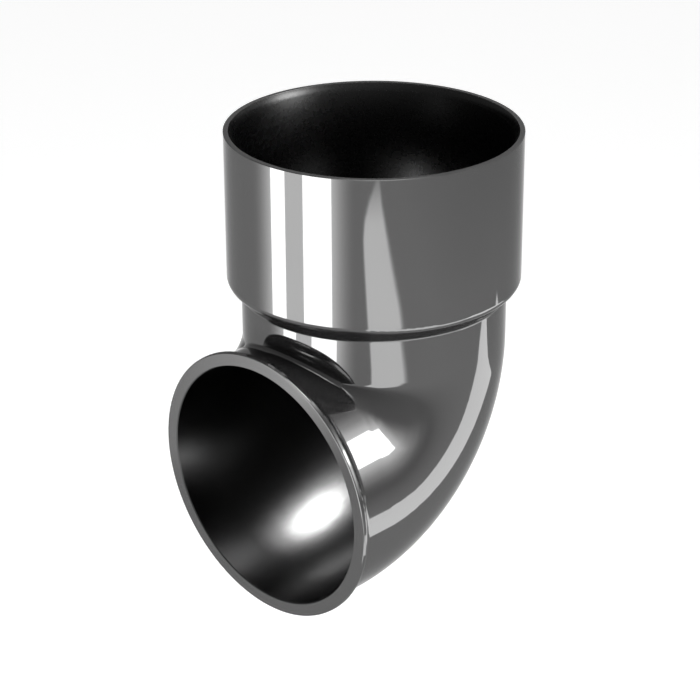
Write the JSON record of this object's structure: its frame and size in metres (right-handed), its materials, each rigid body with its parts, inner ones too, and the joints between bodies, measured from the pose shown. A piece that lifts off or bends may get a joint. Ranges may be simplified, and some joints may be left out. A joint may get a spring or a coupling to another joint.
{
  "type": "downpipe shoe",
  "caption": "Round downpipe shoe: a socket over a short neck and a tight bend that throws rainwater out of a lipped outlet.",
  "frame": {"origin": "centre of the pipe stop, the step at the bottom of the socket where the downpipe's end rests", "axes": "+Z along the socket's axis, up out of its mouth; the outlet faces -Y, tilted 2.5 degrees down; the shoe is symmetric about X = 0"},
  "size_m": [0.0734, 0.0778, 0.1181],
  "materials": {
    "shoe_plastic": "glossy graphite grey, as moulded"
  },
  "bodies": {
    "root": {"downpipe_shoe": "shoe_plastic"}
  },
  "joints": []
}
